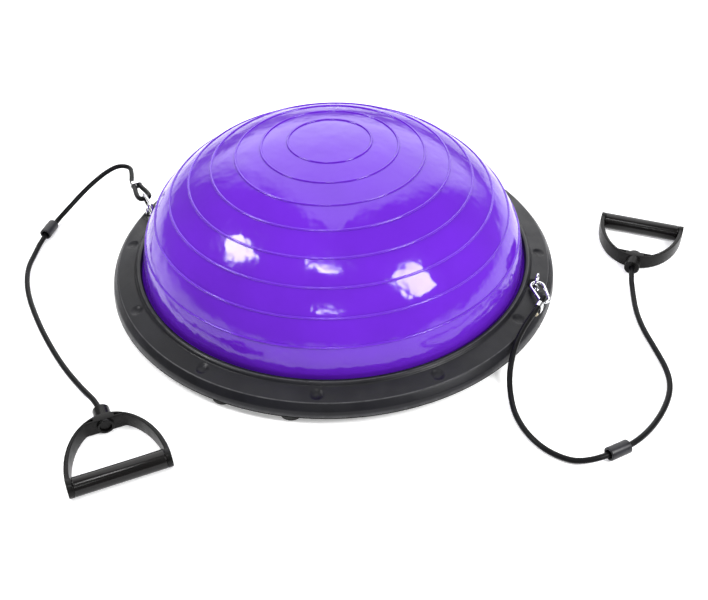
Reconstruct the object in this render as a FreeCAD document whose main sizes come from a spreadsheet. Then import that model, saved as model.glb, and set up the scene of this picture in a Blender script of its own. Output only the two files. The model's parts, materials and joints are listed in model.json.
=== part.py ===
import FreeCAD, Part
import math
import os
import Sketcher
from types import SimpleNamespace
from FreeCAD import Placement, Rotation, Vector

# Balance dome trainer: an inflated ribbed dome clamped in a round two-piece base, with a
# resistance cord, snap hook and D-handle on each side.
# Origin on the dome's axis at floor level, +Z up, the two anchors on the X axis. Millimetres.

doc = FreeCAD.newDocument("balance_dome")

DRIVING = {
    # base
    "rim_radius": 300, "tray_bottom": 6, "tray_wall": 4, "tray_chamfer": 1.5, "tray_lip": 2.8,
    "seam_height": 11, "seam_gap": 0.6, "tongue_outer": 3, "tongue_inner": 4.6, "ring_skin": 3.2,
    "shoulder_radius": 291, "shoulder_height": 27.6, "edge_radius": 296.5, "edge_height": 23.5,
    "face_inner_radius": 268.5, "face_inner_height": 32.6, "lip_radius": 264, "lip_height": 36.6,
    "lip_inner_radius": 259.4, "bead_wall": 3,
    "rib_start": 50, "rib_length": 195, "rib_height": 12, "rib_wall": 3, "hub_radius": 56, "hub_inside": 52,
    "pitch_radius": 279, "dimple_radius": 7.5, "dimple_depth": 1.8,
    "boss_radius": 4.8, "screw_radius": 2, "screw_hole_radius": 2.3, "screw_top": 22.6,
    "screw_head_radius": 4, "screw_recess_radius": 4.5, "screw_head_height": 1.8, "screw_recess_depth": 2,
    "foot_radius": 14, "foot_height": 8, "foot_round": 2, "foot_pitch": 282,
    # dome
    "dome_radius": 256, "dome_rise": 172.7, "dome_centre_height": 31.5, "dome_wall": 3,
    "bead_radius": 267, "bead_bottom": 24, "bead_top": 28, "rib_spacing": 34.8, "rib_bump": 1.2,
    "valve_radius": 5, "valve_head_radius": 9, "valve_height": 54, "valve_seat_depth": 9.8,
    "plug_head": 2, "plug_stem": 12, "plug_tip": 3, "plug_tip_radius": 3.5, "plug_tab_wide": 8,
    # anchors
    "eye_radius": 8.2, "eye_wire": 1.8, "eye_height": 39.5, "shank_radius": 2.5,
    "recess_floor": 27, "recess_radius": 7.5, "recess_top_radius": 13, "recess_depth": 6.5,
    "anchor_boss_radius": 9.5, "anchor_boss_bottom": 21, "collar_radius": 5.5, "collar_height": 3.5,
    "shank_bottom": 13, "nut_bottom": 16, "washer_bottom": 20,
    "nut_flats": 8, "nut_height": 4, "washer_radius": 7, "washer_height": 1,
    # snap hooks
    "hook_wide": 8.5, "hook_narrow": 6, "hook_span": 26, "hook_wire": 2, "gate_wire": 2.2,
    "tab_thickness": 1.8, "rivet_radius": 0.8, "rivet_head_radius": 1.3, "rivet_head": 0.4,
    # cords
    "cord_radius": 3.5, "crimp_wall": 1, "crimp_length": 9, "strand_offset": 3.8,
    "sleeve_radius": 8, "sleeve_bore": 5.4, "sleeve_length": 27,
    # handles
    "grip_radius": 11, "grip_length": 101, "axle_radius": 8.2, "end_disc": 6.5, "end_gap": 0.3,
    "bow_half_width": 57.5, "bow_reach": 87, "bow_inner_half_width": 52, "bow_inner_reach": 84.5,
    "bow_flat": 76, "bow_band": 20, "boss_outer_radius": 10, "boss_start": 73, "boss_end": 102,
    "boss_bore": 7, "boss_neck": 4, "mouth_depth": 12, "stop_radius": 6, "stop_length": 8,
    "stop_from_boss": 2.6, "stop_cap": 2, "cord_lead_in": 9,
}
RUNNING_GAP = 0.05
FLOOR_GAP = 0.2
PAST = 1.0  # how far a cutting tool reaches past the face it enters
DIMPLES = 12


class Dim:
    # A length: its value, and the expression on the sheet that gives it.
    def __init__(self, value, text):
        self.value = value
        self.text = text

    def joined(self, sign, other):
        if not isinstance(other, Dim):
            other = Dim(other, repr(other))
        value = {"+": self.value + other.value, "-": self.value - other.value,
                 "*": self.value * other.value}[sign]
        return Dim(value, "(" + self.text + " " + sign + " " + other.text + ")")

    def __add__(self, other):
        return self.joined("+", other)

    def __sub__(self, other):
        return self.joined("-", other)

    def __mul__(self, other):
        return self.joined("*", other)


def driving_sheet():
    sheet = doc.addObject("Spreadsheet::Sheet", "Sizes")
    for row, (alias, value) in enumerate(DRIVING.items(), start=1):
        sheet.set("A%d" % row, alias)
        sheet.set("B%d" % row, str(value))
        sheet.setAlias("B%d" % row, alias)
    doc.recompute()
    return SimpleNamespace(**{alias: Dim(float(getattr(sheet, alias)), "Sizes." + alias)
                              for alias in DRIVING})


D = driving_sheet()
V = SimpleNamespace(**{alias: getattr(D, alias).value for alias in DRIVING})
nodes = {}


def bind(obj, **dims):
    for name, dim in dims.items():
        name = name.replace("__", ".")
        obj.setExpression(name, dim.text if isinstance(dim, Dim) else str(dim))
    return obj


def node(obj, label, placement=None):
    obj.Label = label
    if placement is not None:
        obj.Placement = placement
    nodes[label] = obj
    return obj


def primitive(kind, name, at=(0, 0, 0), turn=None, **dims):
    obj = doc.addObject("Part::" + kind, name)
    obj.Placement = Placement(Vector(*at), turn or Rotation())
    return bind(obj, **dims)


def boolean(kind, name, base, tool):
    obj = doc.addObject("Part::" + kind, name)
    obj.Base = base
    obj.Tool = tool
    return obj


def fused(name, shapes):
    obj = doc.addObject("Part::MultiFuse", name)
    obj.Shapes = shapes
    return obj


def feature(label, shape, placement=None):
    obj = doc.addObject("Part::Feature", label)
    obj.Shape = shape
    return node(obj, label, placement)


def origin_plane(body, role):
    return [f for f in body.Origin.OriginFeatures if f.Role == role][0]


def outline_sketch(body, name, points, role="XZ_Plane"):
    # A closed outline of straight lines, each corner bound to the sheet.
    sketch = body.newObject("Sketcher::SketchObject", name)
    sketch.AttachmentSupport = [(origin_plane(body, role), "")]
    sketch.MapMode = "FlatFace"
    count = len(points)
    for k in range(count):
        a, b = points[k], points[(k + 1) % count]
        sketch.addGeometry(Part.LineSegment(Vector(a[0].value, a[1].value), Vector(b[0].value, b[1].value)))
    for k in range(count):
        sketch_join(sketch, k, (k + 1) % count)
    for k, (across, up) in enumerate(points):
        place_coordinate(sketch, k, "DistanceX", -2, across)
        place_coordinate(sketch, k, "DistanceY", -1, up)
    return sketch


def sketch_join(sketch, first, second):
    sketch.addConstraint(Sketcher.Constraint("Coincident", first, 2, second, 1))


def place_coordinate(sketch, line, kind, axis, dim):
    if dim.value == 0:
        sketch.addConstraint(Sketcher.Constraint("PointOnObject", line, 1, axis))
        return
    index = sketch.addConstraint(Sketcher.Constraint(kind, -1, 1, line, 1, dim.value))
    sketch.setExpression("Constraints[%d]" % index, dim.text)


def revolved_body(label, points):
    body = doc.addObject("PartDesign::Body", label)
    sketch = outline_sketch(body, label + "_section", points)
    turn = body.newObject("PartDesign::Revolution", label + "_turned")
    turn.Profile = sketch
    turn.ReferenceAxis = (sketch, ["V_Axis"])
    turn.Angle = 360
    doc.recompute()
    return node(body, label)


def repeated(body, name, feature_to_repeat, count):
    pattern = body.newObject("PartDesign::PolarPattern", name)
    pattern.Originals = [feature_to_repeat]
    pattern.Axis = (origin_plane(body, "Z_Axis"), [""])
    pattern.Angle = 360
    pattern.Occurrences = count
    body.Tip = pattern
    doc.recompute()
    return pattern


def tool(body, kind, name, at, turn=None, **dims):
    obj = body.newObject("PartDesign::" + kind, name)
    obj.Placement = Placement(Vector(*at), turn or Rotation())
    bind(obj, **dims)
    doc.recompute()
    return obj


def on_circle(radius, degrees, height=0.0):
    a = math.radians(degrees)
    return Vector(radius * math.cos(a), radius * math.sin(a), height)


def plain(value):
    return Dim(value, repr(value))


ZERO = Dim(0.0, "0")
FIRST_DIMPLE = 15.0
FOOT_ANGLES = [centre + side for centre in (-90, 30, 150) for side in (-8.8, 8.8)]


# Base tray: the lower shell, with feet recesses, screw holes and stiffening ribs.
def base_tray():
    bottom, floor_top = D.tray_bottom, D.tray_bottom + D.tray_wall
    under = V.tray_bottom - PAST
    inside = floor_top.value - PAST
    body = revolved_body("base_tray", [
        (ZERO, bottom), (D.rim_radius - D.tray_chamfer, bottom), (D.rim_radius, bottom + D.tray_chamfer),
        (D.rim_radius, D.seam_height), (D.rim_radius - D.tray_lip, D.seam_height),
        (D.rim_radius - D.tray_lip, floor_top), (ZERO, floor_top)])
    rib = tool(body, "AdditiveBox", "tray_rib", on_circle(V.rib_start, 0, inside),
               Length=D.rib_length, Width=D.rib_wall, Height=D.rib_height + PAST)
    repeated(body, "tray_ribs", rib, DIMPLES)
    tool(body, "AdditiveCylinder", "tray_hub", (0, 0, inside),
         Radius=D.hub_radius, Height=D.rib_height + PAST)
    tool(body, "SubtractiveCylinder", "tray_hub_hollow", (0, 0, floor_top.value),
         Radius=D.hub_inside, Height=D.rib_height + PAST)
    for k, angle in enumerate(FOOT_ANGLES):
        tool(body, "SubtractiveCylinder", "foot_recess_%d" % (k + 1), on_circle(V.foot_pitch, angle, under),
             Radius=D.foot_radius, Height=D.foot_height - under)
    head = tool(body, "SubtractiveCylinder", "screw_head_recess",
                on_circle(V.pitch_radius, FIRST_DIMPLE, under),
                Radius=D.screw_recess_radius, Height=D.screw_recess_depth + PAST)
    repeated(body, "screw_head_recesses", head, DIMPLES)
    hole = tool(body, "SubtractiveCylinder", "screw_hole", on_circle(V.pitch_radius, FIRST_DIMPLE, under),
                Radius=D.screw_hole_radius, Height=D.tray_wall + PAST + PAST)
    repeated(body, "screw_holes", hole, DIMPLES)


def ring_face_height(radius):
    # Height of the ring's sloping upper face at a radius.
    slope = (V.face_inner_height - V.shoulder_height) / (V.shoulder_radius - V.face_inner_radius)
    return V.face_inner_height - (radius - V.face_inner_radius) * slope


# Rim ring: the upper shell that clamps the dome's bead, with dimples and two anchor recesses.
def rim_ring():
    floor_top = D.tray_bottom + D.tray_wall
    low = D.seam_height + D.seam_gap
    bead_outside = D.bead_radius + D.bead_wall
    body = revolved_body("rim_ring", [
        (D.rim_radius - D.tongue_outer, low), (D.rim_radius - D.tongue_outer, floor_top),
        (D.rim_radius - D.tongue_inner, floor_top), (D.rim_radius - D.tongue_inner, low),
        (D.edge_radius - D.ring_skin, D.edge_height - 1.4),
        (D.shoulder_radius - 1.2, D.shoulder_height - D.ring_skin),
        (bead_outside, D.face_inner_height - D.ring_skin), (bead_outside, D.bead_bottom),
        (D.bead_radius, D.bead_bottom), (D.bead_radius, D.bead_top), (D.lip_inner_radius, D.bead_top),
        (D.lip_inner_radius, D.lip_height - 2.6), (D.lip_radius - 3.2, D.lip_height - 0.2),
        (D.lip_radius, D.lip_height), (D.face_inner_radius - 1.6, D.face_inner_height + 2.2),
        (D.face_inner_radius, D.face_inner_height), (D.shoulder_radius, D.shoulder_height),
        (D.edge_radius, D.edge_height), (D.rim_radius, low)])
    face_height = ring_face_height(V.pitch_radius)
    boss = tool(body, "AdditiveCylinder", "screw_boss",
                on_circle(V.pitch_radius, FIRST_DIMPLE, floor_top.value),
                Radius=D.boss_radius, Height=plain(face_height - PAST - floor_top.value))
    repeated(body, "screw_bosses", boss, DIMPLES)
    for side in (0, 180):
        tool(body, "AdditiveCylinder", "anchor_boss_%d" % side,
             on_circle(V.pitch_radius, side, V.anchor_boss_bottom),
             Radius=D.anchor_boss_radius, Height=D.recess_floor - D.anchor_boss_bottom + PAST)
        tool(body, "SubtractiveCone", "anchor_recess_%d" % side,
             on_circle(V.pitch_radius, side, V.recess_floor),
             Radius1=D.recess_radius, Radius2=D.recess_top_radius, Height=D.recess_depth)
        tool(body, "SubtractiveCylinder", "anchor_hole_%d" % side,
             on_circle(V.pitch_radius, side, V.anchor_boss_bottom - PAST),
             Radius=D.shank_radius, Height=D.recess_floor - D.anchor_boss_bottom + 2 * PAST)
    ball = (V.dimple_radius ** 2 + V.dimple_depth ** 2) / (2 * V.dimple_depth)
    dimple = tool(body, "SubtractiveSphere", "dimple",
                  on_circle(V.pitch_radius, FIRST_DIMPLE, face_height + ball - V.dimple_depth),
                  Radius=plain(ball))
    repeated(body, "dimples", dimple, DIMPLES)
    hole = tool(body, "SubtractiveCylinder", "screw_bore",
                on_circle(V.pitch_radius, FIRST_DIMPLE, V.tray_bottom - PAST),
                Radius=D.screw_radius, Height=D.screw_top - V.tray_bottom + PAST + 0.4)
    repeated(body, "screw_bores", hole, DIMPLES)


# Screws: twelve, from underneath, each with a rounded slotted head.
def rim_screws():
    head_bottom = V.tray_bottom + FLOOR_GAP
    slot_size = Vector(1, 5, 0.6)
    screws = []
    for k in range(DIMPLES):
        place = on_circle(V.pitch_radius, FIRST_DIMPLE + 360.0 * k / DIMPLES, head_bottom)
        head = Part.makeCylinder(V.screw_head_radius, V.screw_head_height, place)
        rim = [e for e in head.Edges if e.BoundBox.ZMax < head_bottom + 1e-6]
        shank = Part.makeCylinder(V.screw_radius, V.screw_top - head_bottom, place)
        slot = Part.makeBox(slot_size.x, slot_size.y, slot_size.z + PAST,
                            place - Vector(slot_size.x / 2, slot_size.y / 2, PAST))
        screws.append(head.makeFillet(0.8, rim).fuse(shank).cut(slot))
    feature("rim_screws", Part.makeCompound(screws))


# Feet: rubber discs pushed into the tray's recesses.
def feet():
    for k, angle in enumerate(FOOT_ANGLES):
        label = "foot_%d" % (k + 1)
        body = doc.addObject("PartDesign::Body", label)
        disc = tool(body, "AdditiveCylinder", label + "_disc", (0, 0, 0), Radius=D.foot_radius,
                    Height=D.foot_height)
        edge = [n for n, e in enumerate(body.Shape.Edges, start=1)
                if e.BoundBox.ZLength < 1e-6 and abs(e.BoundBox.ZMin) < 1e-6]
        fillet = body.newObject("PartDesign::Fillet", label + "_round")
        fillet.Base = (disc, ["Edge%d" % n for n in edge])
        bind(fillet, Radius=D.foot_round)
        body.Tip = fillet
        node(body, label, Placement(on_circle(V.foot_pitch, angle), Rotation()))
        doc.recompute()


# Dome: one blow-moulded bag with a clamped bead, eight raised ribs and a valve seat.
APEX = math.pi / 2


def dome_point(radius, rise, angle):
    # Rounded, so that the apex lies exactly on the axis.
    return Vector(round(radius * math.cos(angle), 9), 0, V.dome_centre_height + rise * math.sin(angle))


def rib_angles():
    # Angles at equal steps of arc length down from the apex; the first step is half again as long.
    steps = 4000
    angles, travelled, target = [], 0.0, 1.53 * V.rib_spacing
    last = dome_point(V.dome_radius, V.dome_rise, APEX)
    for k in range(1, steps):
        angle = APEX * (1 - k / steps)
        here = dome_point(V.dome_radius, V.dome_rise, angle)
        travelled += here.distanceToPoint(last)
        last = here
        if travelled >= target and len(angles) < 8:
            angles.append(angle)
            target += V.rib_spacing
    return angles


def arc_between(radius, rise, start, end):
    # An arc that starts at the apex is a round cap, so its centre has to lie on the axis.
    first, last = dome_point(radius, rise, start), dome_point(radius, rise, end)
    middle = dome_point(radius, rise, (start + end) / 2)
    if start == APEX:
        drop = first.z - last.z
        ball = (last.x ** 2 + drop ** 2) / (2 * drop)
        half = math.asin(last.x / ball) / 2
        middle = Vector(ball * math.sin(half), 0, first.z - ball * (1 - math.cos(half)))
    return Part.Arc(first, middle, last).toShape()


def dome_bladder():
    edges = []
    half = math.asin(V.rib_bump / V.dome_radius)
    start = APEX
    for angle in rib_angles():
        upper, lower = angle + half, angle - half
        crest = dome_point(V.dome_radius + V.rib_bump, V.dome_rise + V.rib_bump, angle)
        edges.append(arc_between(V.dome_radius, V.dome_rise, start, upper))
        edges.append(Part.Arc(edges[-1].lastVertex(True).Point, crest,
                              dome_point(V.dome_radius, V.dome_rise, lower)).toShape())
        start = lower
    edges.append(arc_between(V.dome_radius, V.dome_rise, start, 0.0))
    r, inner, rise = V.dome_radius, V.dome_radius - V.dome_wall, V.dome_rise - V.dome_wall
    low, floor_z = V.bead_bottom, V.bead_bottom + V.dome_wall
    corners = [(r, V.dome_centre_height), (r, V.bead_top), (V.bead_radius, V.bead_top), (V.bead_radius, low),
               (0, low), (0, floor_z), (inner, floor_z), (inner, V.dome_centre_height)]
    corners = [Vector(x, 0, z) for x, z in corners]
    edges += [Part.makeLine(a, b) for a, b in zip(corners, corners[1:])]
    inside = [APEX * (1 - k / 6) for k in range(7)]
    edges += [arc_between(inner, rise, a, b) for a, b in zip(inside, inside[1:])]
    edges.append(Part.makeLine(dome_point(inner, rise, APEX), dome_point(r, V.dome_rise, APEX)))
    wire = Part.Wire(Part.__sortEdges__(edges))
    bag = Part.Face(wire).revolve(Vector(0, 0, 0), Vector(0, 0, 1), 360)
    place = valve_placement()
    deep = V.valve_seat_depth
    seat = Part.makeCylinder(V.valve_head_radius, deep - 0.8, Vector(0, 0, -deep))
    seat.Placement = place
    bore = Part.makeCylinder(V.valve_radius + RUNNING_GAP, 3 * deep, Vector(0, 0, -1.5 * deep))
    bore.Placement = place
    feature("dome_bladder", bag.fuse(seat).cut(bore).removeSplitter())


def valve_placement():
    # On the back of the dome, low down, its axis square to the surface.
    angle = math.asin((V.valve_height - V.dome_centre_height) / V.dome_rise)
    point = dome_point(V.dome_radius, V.dome_rise, angle)
    slope = math.atan2(math.sin(angle) / V.dome_rise, math.cos(angle) / V.dome_radius)
    turn = Rotation(Vector(0, 0, 1), 90).multiply(Rotation(Vector(0, 1, 0), 90 - math.degrees(slope)))
    return Placement(Rotation(Vector(0, 0, 1), 90).multVec(point), turn)


def valve_plug():
    head = primitive("Cylinder", "plug_head", (0, 0, 0.3), Radius=D.valve_head_radius, Height=D.plug_head)
    stem = primitive("Cylinder", "plug_stem", (0, 0, -V.plug_stem), Radius=D.valve_radius,
                     Height=D.plug_stem + PAST)
    tip = primitive("Cone", "plug_tip", (0, 0, -V.plug_stem - V.plug_tip), Radius1=D.plug_tip_radius,
                    Radius2=D.valve_radius, Height=D.plug_tip)
    tab = primitive("Box", "plug_tab", (-1, -V.plug_tab_wide / 2, V.plug_head), Length=D.plug_head,
                    Width=D.plug_tab_wide, Height=D.plug_head * 2)
    node(fused("plug_body", [head, stem, tip, tab]), "valve_plug", valve_placement())


# Anchors: a steel eye in the rim on each side, with its washer and nut underneath.
def anchor(side, sign):
    across = sign * V.pitch_radius
    turn = Rotation(Vector(0, 1, 0), 90)
    loop = primitive("Torus", side + "_eye_loop", (across, 0, V.eye_height), turn,
                     Radius1=D.eye_radius, Radius2=D.eye_wire)
    collar = primitive("Cone", side + "_eye_collar", (across, 0, V.recess_floor),
                       Radius1=D.collar_radius, Radius2=D.shank_radius, Height=D.collar_height)
    shank = primitive("Cylinder", side + "_eye_shank", (across, 0, V.shank_bottom),
                      Radius=D.shank_radius, Height=D.eye_height - D.eye_radius - D.shank_bottom)
    node(fused(side + "_eye", [loop, collar, shank]), side + "_anchor_eye")
    plate = primitive("Cylinder", side + "_washer_disc", (across, 0, V.washer_bottom),
                      Radius=D.washer_radius, Height=D.washer_height)
    hole = primitive("Cylinder", side + "_washer_hole", (across, 0, V.washer_bottom - PAST),
                     Radius=D.shank_radius, Height=D.washer_height + 2 * PAST)
    node(boolean("Cut", side + "_washer", plate, hole), side + "_anchor_washer")
    block = primitive("Prism", side + "_nut_block", (across, 0, V.nut_bottom),
                      Circumradius=D.nut_flats * (1 / math.sqrt(3)), Height=D.nut_height)
    thread = primitive("Cylinder", side + "_nut_thread", (across, 0, V.nut_bottom - PAST),
                       Radius=D.shank_radius, Height=D.nut_height + 2 * PAST)
    node(boolean("Cut", side + "_nut", block, thread), side + "_anchor_nut")


# Snap hook: a pear-shaped wire frame with a sprung gate. Local x runs from the wide end to the
# narrow end, local y across with the gate at +y, local z square to the hook.
def hook_tangent():
    lean = math.asin((V.hook_wide - V.hook_narrow) / V.hook_span)
    wide = Vector(V.hook_wide * math.sin(lean), V.hook_wide * math.cos(lean), 0)
    narrow = Vector(V.hook_span + V.hook_narrow * math.sin(lean), V.hook_narrow * math.cos(lean), 0)
    return wide, narrow


def mirrored(point):
    return Vector(point.x, -point.y, point.z)


GATE_NOSE, GATE_HINGE, TAB_ROOT, GATE_TAIL, GATE_FRONT = 3.0, 20.8, 23.6, 22.0, 3.4


def gate_line(distance):
    wide, narrow = hook_tangent()
    along = (narrow - wide).normalize()
    return wide + along * distance


def gate_turn():
    wide, narrow = hook_tangent()
    along = narrow - wide
    return Rotation(Vector(0, 0, 1), math.degrees(math.atan2(along.y, along.x)))


def hook_frame(side, placement):
    wide, narrow = hook_tangent()
    edges = [Part.LineSegment(gate_line(GATE_NOSE), wide).toShape(),
             Part.Arc(wide, Vector(-V.hook_wide, 0, 0), mirrored(wide)).toShape(),
             Part.LineSegment(mirrored(wide), mirrored(narrow)).toShape(),
             Part.Arc(mirrored(narrow), Vector(V.hook_span + V.hook_narrow, 0, 0), narrow).toShape(),
             Part.LineSegment(narrow, gate_line(TAB_ROOT)).toShape()]
    path = Part.Wire(edges)
    start = gate_line(GATE_NOSE)
    ring = Part.Wire(Part.makeCircle(V.hook_wire, start, wide - start))
    wire = path.makePipeShell([ring], True, False)
    tab = Part.makeBox(TAB_ROOT - GATE_HINGE + 0.4, 3.2, V.tab_thickness,
                       Vector(0, -1.6, -V.tab_thickness / 2))
    tab = tab.fuse(Part.makeCylinder(1.6, V.tab_thickness, Vector(0, 0, -V.tab_thickness / 2)))
    tab.Placement = Placement(gate_line(GATE_HINGE), gate_turn())
    hole = Part.makeCylinder(V.rivet_radius, 8, gate_line(GATE_HINGE) - Vector(0, 0, 4))
    feature(side + "_hook_frame", wire.fuse(tab).cut(hole).removeSplitter(), placement)


def hook_gate(side, placement):
    length = GATE_TAIL - GATE_FRONT
    to_hinge = GATE_HINGE - GATE_FRONT
    bar = Part.makeCylinder(V.gate_wire, length, Vector(0, 0, 0), Vector(1, 0, 0))
    bore = Part.makeCylinder(1.2, 10.5, Vector(3, 0, 0), Vector(1, 0, 0))
    fork = Part.makeBox(length, 8, V.tab_thickness + 0.4,
                        Vector(to_hinge - 2.6, -4, -V.tab_thickness / 2 - 0.2))
    hole = Part.makeCylinder(V.rivet_radius + RUNNING_GAP, 8, Vector(to_hinge, 0, -4))
    gate = bar.cut(bore).cut(fork).cut(hole)
    local = Placement(gate_line(GATE_FRONT), gate_turn())
    feature(side + "_hook_gate", gate, placement.multiply(local))
    spring = Part.makeCylinder(1.1, 10, Vector(3.2, 0, 0), Vector(1, 0, 0)).cut(
        Part.makeCylinder(0.7, 10, Vector(3.2, 0, 0), Vector(1, 0, 0)))
    feature(side + "_gate_spring", spring, placement.multiply(local))
    pin = Part.makeCylinder(V.rivet_radius, 2 * V.gate_wire + 0.2, Vector(0, 0, -V.gate_wire - 0.1))
    for height in (-V.gate_wire - 0.1 - V.rivet_head, V.gate_wire + 0.1):
        pin = pin.fuse(Part.makeCylinder(V.rivet_head_radius, V.rivet_head, Vector(0, 0, height)))
    feature(side + "_gate_rivet", pin, placement.multiply(Placement(gate_line(GATE_HINGE), gate_turn())))


# Cords: each route is a list of points, its corners rounded by tangent arcs.
def rounded_wire(points, label):
    edges, radii = [], []
    here = points[0]
    for before, corner, after in zip(points, points[1:], points[2:]):
        into, out = (before - corner), (after - corner)
        turn = math.pi - into.getAngle(out)
        cut = 0.45 * min(into.Length, out.Length)
        radii.append(cut / math.tan(turn / 2))
        into, out = into.normalize(), out.normalize()
        start, end = corner + into * cut, corner + out * cut
        centre = corner + (into + out).normalize() * (cut / math.sin(turn / 2))
        middle = centre + (corner - centre).normalize() * radii[-1]
        if here.distanceToPoint(start) > 1e-3:
            edges.append(Part.LineSegment(here, start).toShape())
        edges.append(Part.Arc(start, middle, end).toShape())
        here = end
    edges.append(Part.LineSegment(here, points[-1]).toShape())
    print(label, "arc radii", " ".join("%.0f" % r for r in radii))
    return Part.Wire(edges)


def cord(side, points):
    label = side + "_cord"
    points = [Vector(*p) for p in points]
    path = rounded_wire(points, label)
    ring = Part.Wire(Part.makeCircle(V.cord_radius, points[0], points[1] - points[0]))
    tube = path.makePipeShell([ring], True, False)
    section = math.pi * V.cord_radius ** 2
    print(label, "length %.1f" % path.Length, "volume ratio %.5f" % (tube.Volume / (section * path.Length)))
    feature(label, tube)


def crimp(side, placement):
    # Two strands side by side along local y, the crimp's axis along local x.
    def rounded_bar(radius, length):
        block = Part.makeBox(length, 2 * V.strand_offset, 2 * radius,
                             Vector(-length / 2, -V.strand_offset, -radius))
        for way in (-1, 1):
            start = Vector(-length / 2, way * V.strand_offset, 0)
            block = block.fuse(Part.makeCylinder(radius, length, start, Vector(1, 0, 0)))
        return block
    hollow = rounded_bar(V.cord_radius + 0.02, V.crimp_length + 2 * PAST)
    band = rounded_bar(V.cord_radius + V.crimp_wall, V.crimp_length).cut(hollow).removeSplitter()
    feature(side + "_crimp", band, placement)


def sleeve(side, centre, degrees):
    # The bore is wider than the cord, which lies along the bottom of it.
    tube = primitive("Cylinder", side + "_sleeve_tube", Radius=D.sleeve_radius, Height=D.sleeve_length)
    bore = primitive("Cylinder", side + "_sleeve_bore", (0, 0, -PAST), Radius=D.sleeve_bore,
                     Height=D.sleeve_length + 2 * PAST)
    along = Rotation(Vector(0, 0, 1), degrees).multiply(Rotation(Vector(0, 1, 0), 90))
    middle = Vector(centre[0], centre[1], V.sleeve_radius + 0.1)
    start = middle - along.multVec(Vector(0, 0, V.sleeve_length / 2))
    node(boolean("Cut", side + "_sleeve_cut", tube, bore), side + "_sleeve", Placement(start, along))


# Handle: a D-shaped moulded bow with a cord boss, and a tube grip that spins on its axle.
# Local x along the grip, local y from the grip to the boss, local z up.
def elliptic_slab(name, half_width, reach, height):
    outline = primitive("Ellipse", name + "_outline", (0, 0, 0), Rotation(Vector(0, 0, 1), 90),
                        MajorRadius=reach, MinorRadius=half_width)
    slab = doc.addObject("Part::Extrusion", name)
    slab.Base = outline
    slab.DirMode = "Custom"
    slab.Dir = Vector(0, 0, 1)
    slab.Solid = True
    slab.Symmetric = True
    return bind(slab, LengthFwd=height)


BIG = plain(200.0)  # larger than the bow, for the boxes that trim it
ALONG_X = Rotation(Vector(0, 1, 0), 90)
ALONG_Y = Rotation(Vector(1, 0, 0), -90)


def web_pocket(side, sign, face):
    # A tapered pocket beside the boss, in the upper or the lower face of the bow.
    long, wide, deep = 11, 3.6, 7
    low = V.bow_band / 2 - 6 if face > 0 else -V.bow_band / 2 - PAST
    turn = Rotation() if sign > 0 else Rotation(Vector(0, 1, 0), 180)
    height = low if sign > 0 else low + deep
    wedge = primitive("Wedge", side + "_web_pocket", (sign * 12, V.bow_flat + 2.4, height), turn)
    wedge.Xmin, wedge.Ymin, wedge.Zmin = 0, 0, 0
    wedge.Xmax, wedge.Ymax, wedge.Zmax = long, wide, deep
    wedge.X2min, wedge.X2max, wedge.Z2min, wedge.Z2max = 0, 1, 0, deep
    return wedge


def handle_frame(side, placement):
    outer = elliptic_slab(side + "_bow_outer", D.bow_half_width, D.bow_reach, D.bow_band)
    inner = elliptic_slab(side + "_bow_inner", D.bow_inner_half_width, D.bow_inner_reach,
                          D.bow_band + 2 * PAST)
    below_flat = primitive("Box", side + "_flat_limit", (-100, -100, -20), Length=BIG,
                           Width=D.bow_flat + 100, Height=plain(40.0))
    window = boolean("Common", side + "_bow_window", inner, below_flat)
    ring = boolean("Cut", side + "_bow_ring", outer, window)
    front = primitive("Box", side + "_bow_side", (-100, 0, -20), Length=BIG, Width=BIG, Height=plain(40.0))
    pieces = [boolean("Common", side + "_bow", ring, front)]
    half = V.grip_length / 2
    for start in (half + V.end_gap, -half - V.end_gap - V.end_disc):
        pieces.append(primitive("Cylinder", side + "_end_disc", (start, 0, 0), ALONG_X,
                                Radius=D.grip_radius, Height=D.end_disc))
    pieces.append(primitive("Cylinder", side + "_axle", (-half - PAST, 0, 0), ALONG_X,
                            Radius=D.axle_radius, Height=D.grip_length + 2 * PAST))
    pieces.append(primitive("Cylinder", side + "_boss", (0, V.boss_start, 0), ALONG_Y,
                            Radius=D.boss_outer_radius, Height=D.boss_end - D.boss_start))
    solid = fused(side + "_frame_solid", pieces)
    cuts = [primitive("Cylinder", side + "_stop_pocket", (0, V.boss_start - PAST, 0), ALONG_Y,
                      Radius=D.boss_bore, Height=D.stop_length + 4),
            primitive("Cylinder", side + "_mouth", (0, V.boss_end - V.mouth_depth, 0), ALONG_Y,
                      Radius=D.boss_bore, Height=D.mouth_depth + PAST),
            primitive("Cylinder", side + "_neck", (0, V.boss_start, 0), ALONG_Y,
                      Radius=D.boss_neck, Height=D.boss_end - D.boss_start)]
    cuts += [web_pocket(side, sign, face) for sign in (-1, 1) for face in (-1, 1)]
    hollow = fused(side + "_frame_hollows", cuts)
    node(boolean("Cut", side + "_frame_cut", solid, hollow), side + "_handle_frame", placement)


def grip_tube(side, placement):
    half = V.grip_length / 2
    tube = primitive("Cylinder", side + "_grip_outer", (-half, 0, 0), ALONG_X, Radius=D.grip_radius,
                     Height=D.grip_length)
    bore = primitive("Cylinder", side + "_grip_bore", (-half - PAST, 0, 0), ALONG_X,
                     Radius=D.axle_radius + 0.1, Height=D.grip_length + 2 * PAST)
    node(boolean("Cut", side + "_grip_cut", tube, bore), side + "_grip_tube", placement)


def cord_stop(side, placement):
    start = V.boss_start + V.stop_from_boss
    plug = primitive("Cylinder", side + "_stop_plug", (0, start, 0), ALONG_Y,
                     Radius=D.stop_radius, Height=D.stop_length)
    bore = primitive("Cylinder", side + "_stop_bore", (0, start + V.stop_cap, 0), ALONG_Y,
                     Radius=D.cord_radius, Height=D.stop_length)
    node(boolean("Cut", side + "_stop_cut", plug, bore), side + "_cord_stop", placement)


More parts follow.
